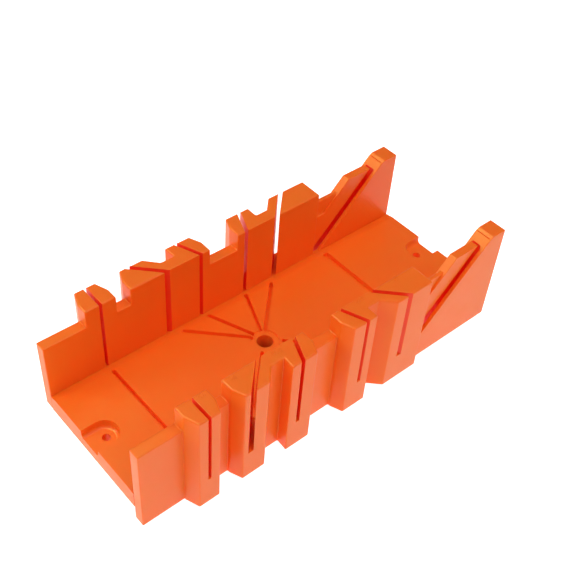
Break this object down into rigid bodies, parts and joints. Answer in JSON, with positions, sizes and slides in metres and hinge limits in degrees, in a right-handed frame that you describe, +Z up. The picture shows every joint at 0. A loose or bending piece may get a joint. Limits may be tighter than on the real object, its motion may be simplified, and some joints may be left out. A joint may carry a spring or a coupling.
{
  "type": "mitre box",
  "caption": "One-piece moulded plastic mitre box: work channel, guide walls with square, fine and 45 degree saw kerfs, a bevel horn at one end and a bench hook lip.",
  "frame": {"origin": "under the middle of the box, level with the bottom of the bench hook lip", "axes": "+X along the box towards the bevel horns, +Y from the front wall with the lip to the rear wall, +Z up"},
  "size_m": [0.36, 0.1546, 0.0976],
  "materials": {
    "moulding": "satin injection moulded ABS, saturated orange"
  },
  "bodies": {
    "root": {"cross_rib_1": "moulding", "cross_rib_2": "moulding", "cross_rib_3": "moulding", "cross_rib_4": "moulding", "cross_rib_5": "moulding", "deck_plate": "moulding", "front_bevel_inner_cheek": "moulding", "front_bevel_outer_cheek": "moulding", "front_bevel_post": "moulding", "front_bevel_tongue": "moulding", "front_bevel_web": "moulding", "front_end_wall": "moulding", "front_horn_base": "moulding", "front_left_mitre_guide_1": "moulding", "front_left_mitre_guide_2": "moulding", "front_left_mitre_guide_3": "moulding", "front_middle_low_wall": "moulding", "front_outer_low_wall": "moulding", "front_right_mitre_guide_1": "moulding", "front_right_mitre_guide_2": "moulding", "front_right_mitre_guide_3": "moulding", "front_sill": "moulding", "front_square_guide_1": "moulding", "front_square_guide_2": "moulding", "left_end_rail": "moulding", "pivot_boss": "moulding", "rear_bevel_inner_cheek": "moulding", "rear_bevel_outer_cheek": "moulding", "rear_bevel_post": "moulding", "rear_bevel_tongue": "moulding", "rear_bevel_web": "moulding", "rear_end_wall": "moulding", "rear_horn_base": "moulding", "rear_left_mitre_guide_1": "moulding", "rear_left_mitre_guide_2": "moulding", "rear_left_mitre_guide_3": "moulding", "rear_middle_low_wall": "moulding", "rear_outer_low_wall": "moulding", "rear_right_mitre_guide_1": "moulding", "rear_right_mitre_guide_2": "moulding", "rear_right_mitre_guide_3": "moulding", "rear_sill": "moulding", "rear_square_guide_1": "moulding", "rear_square_guide_2": "moulding", "right_end_rail": "moulding"}
  },
  "joints": []
}
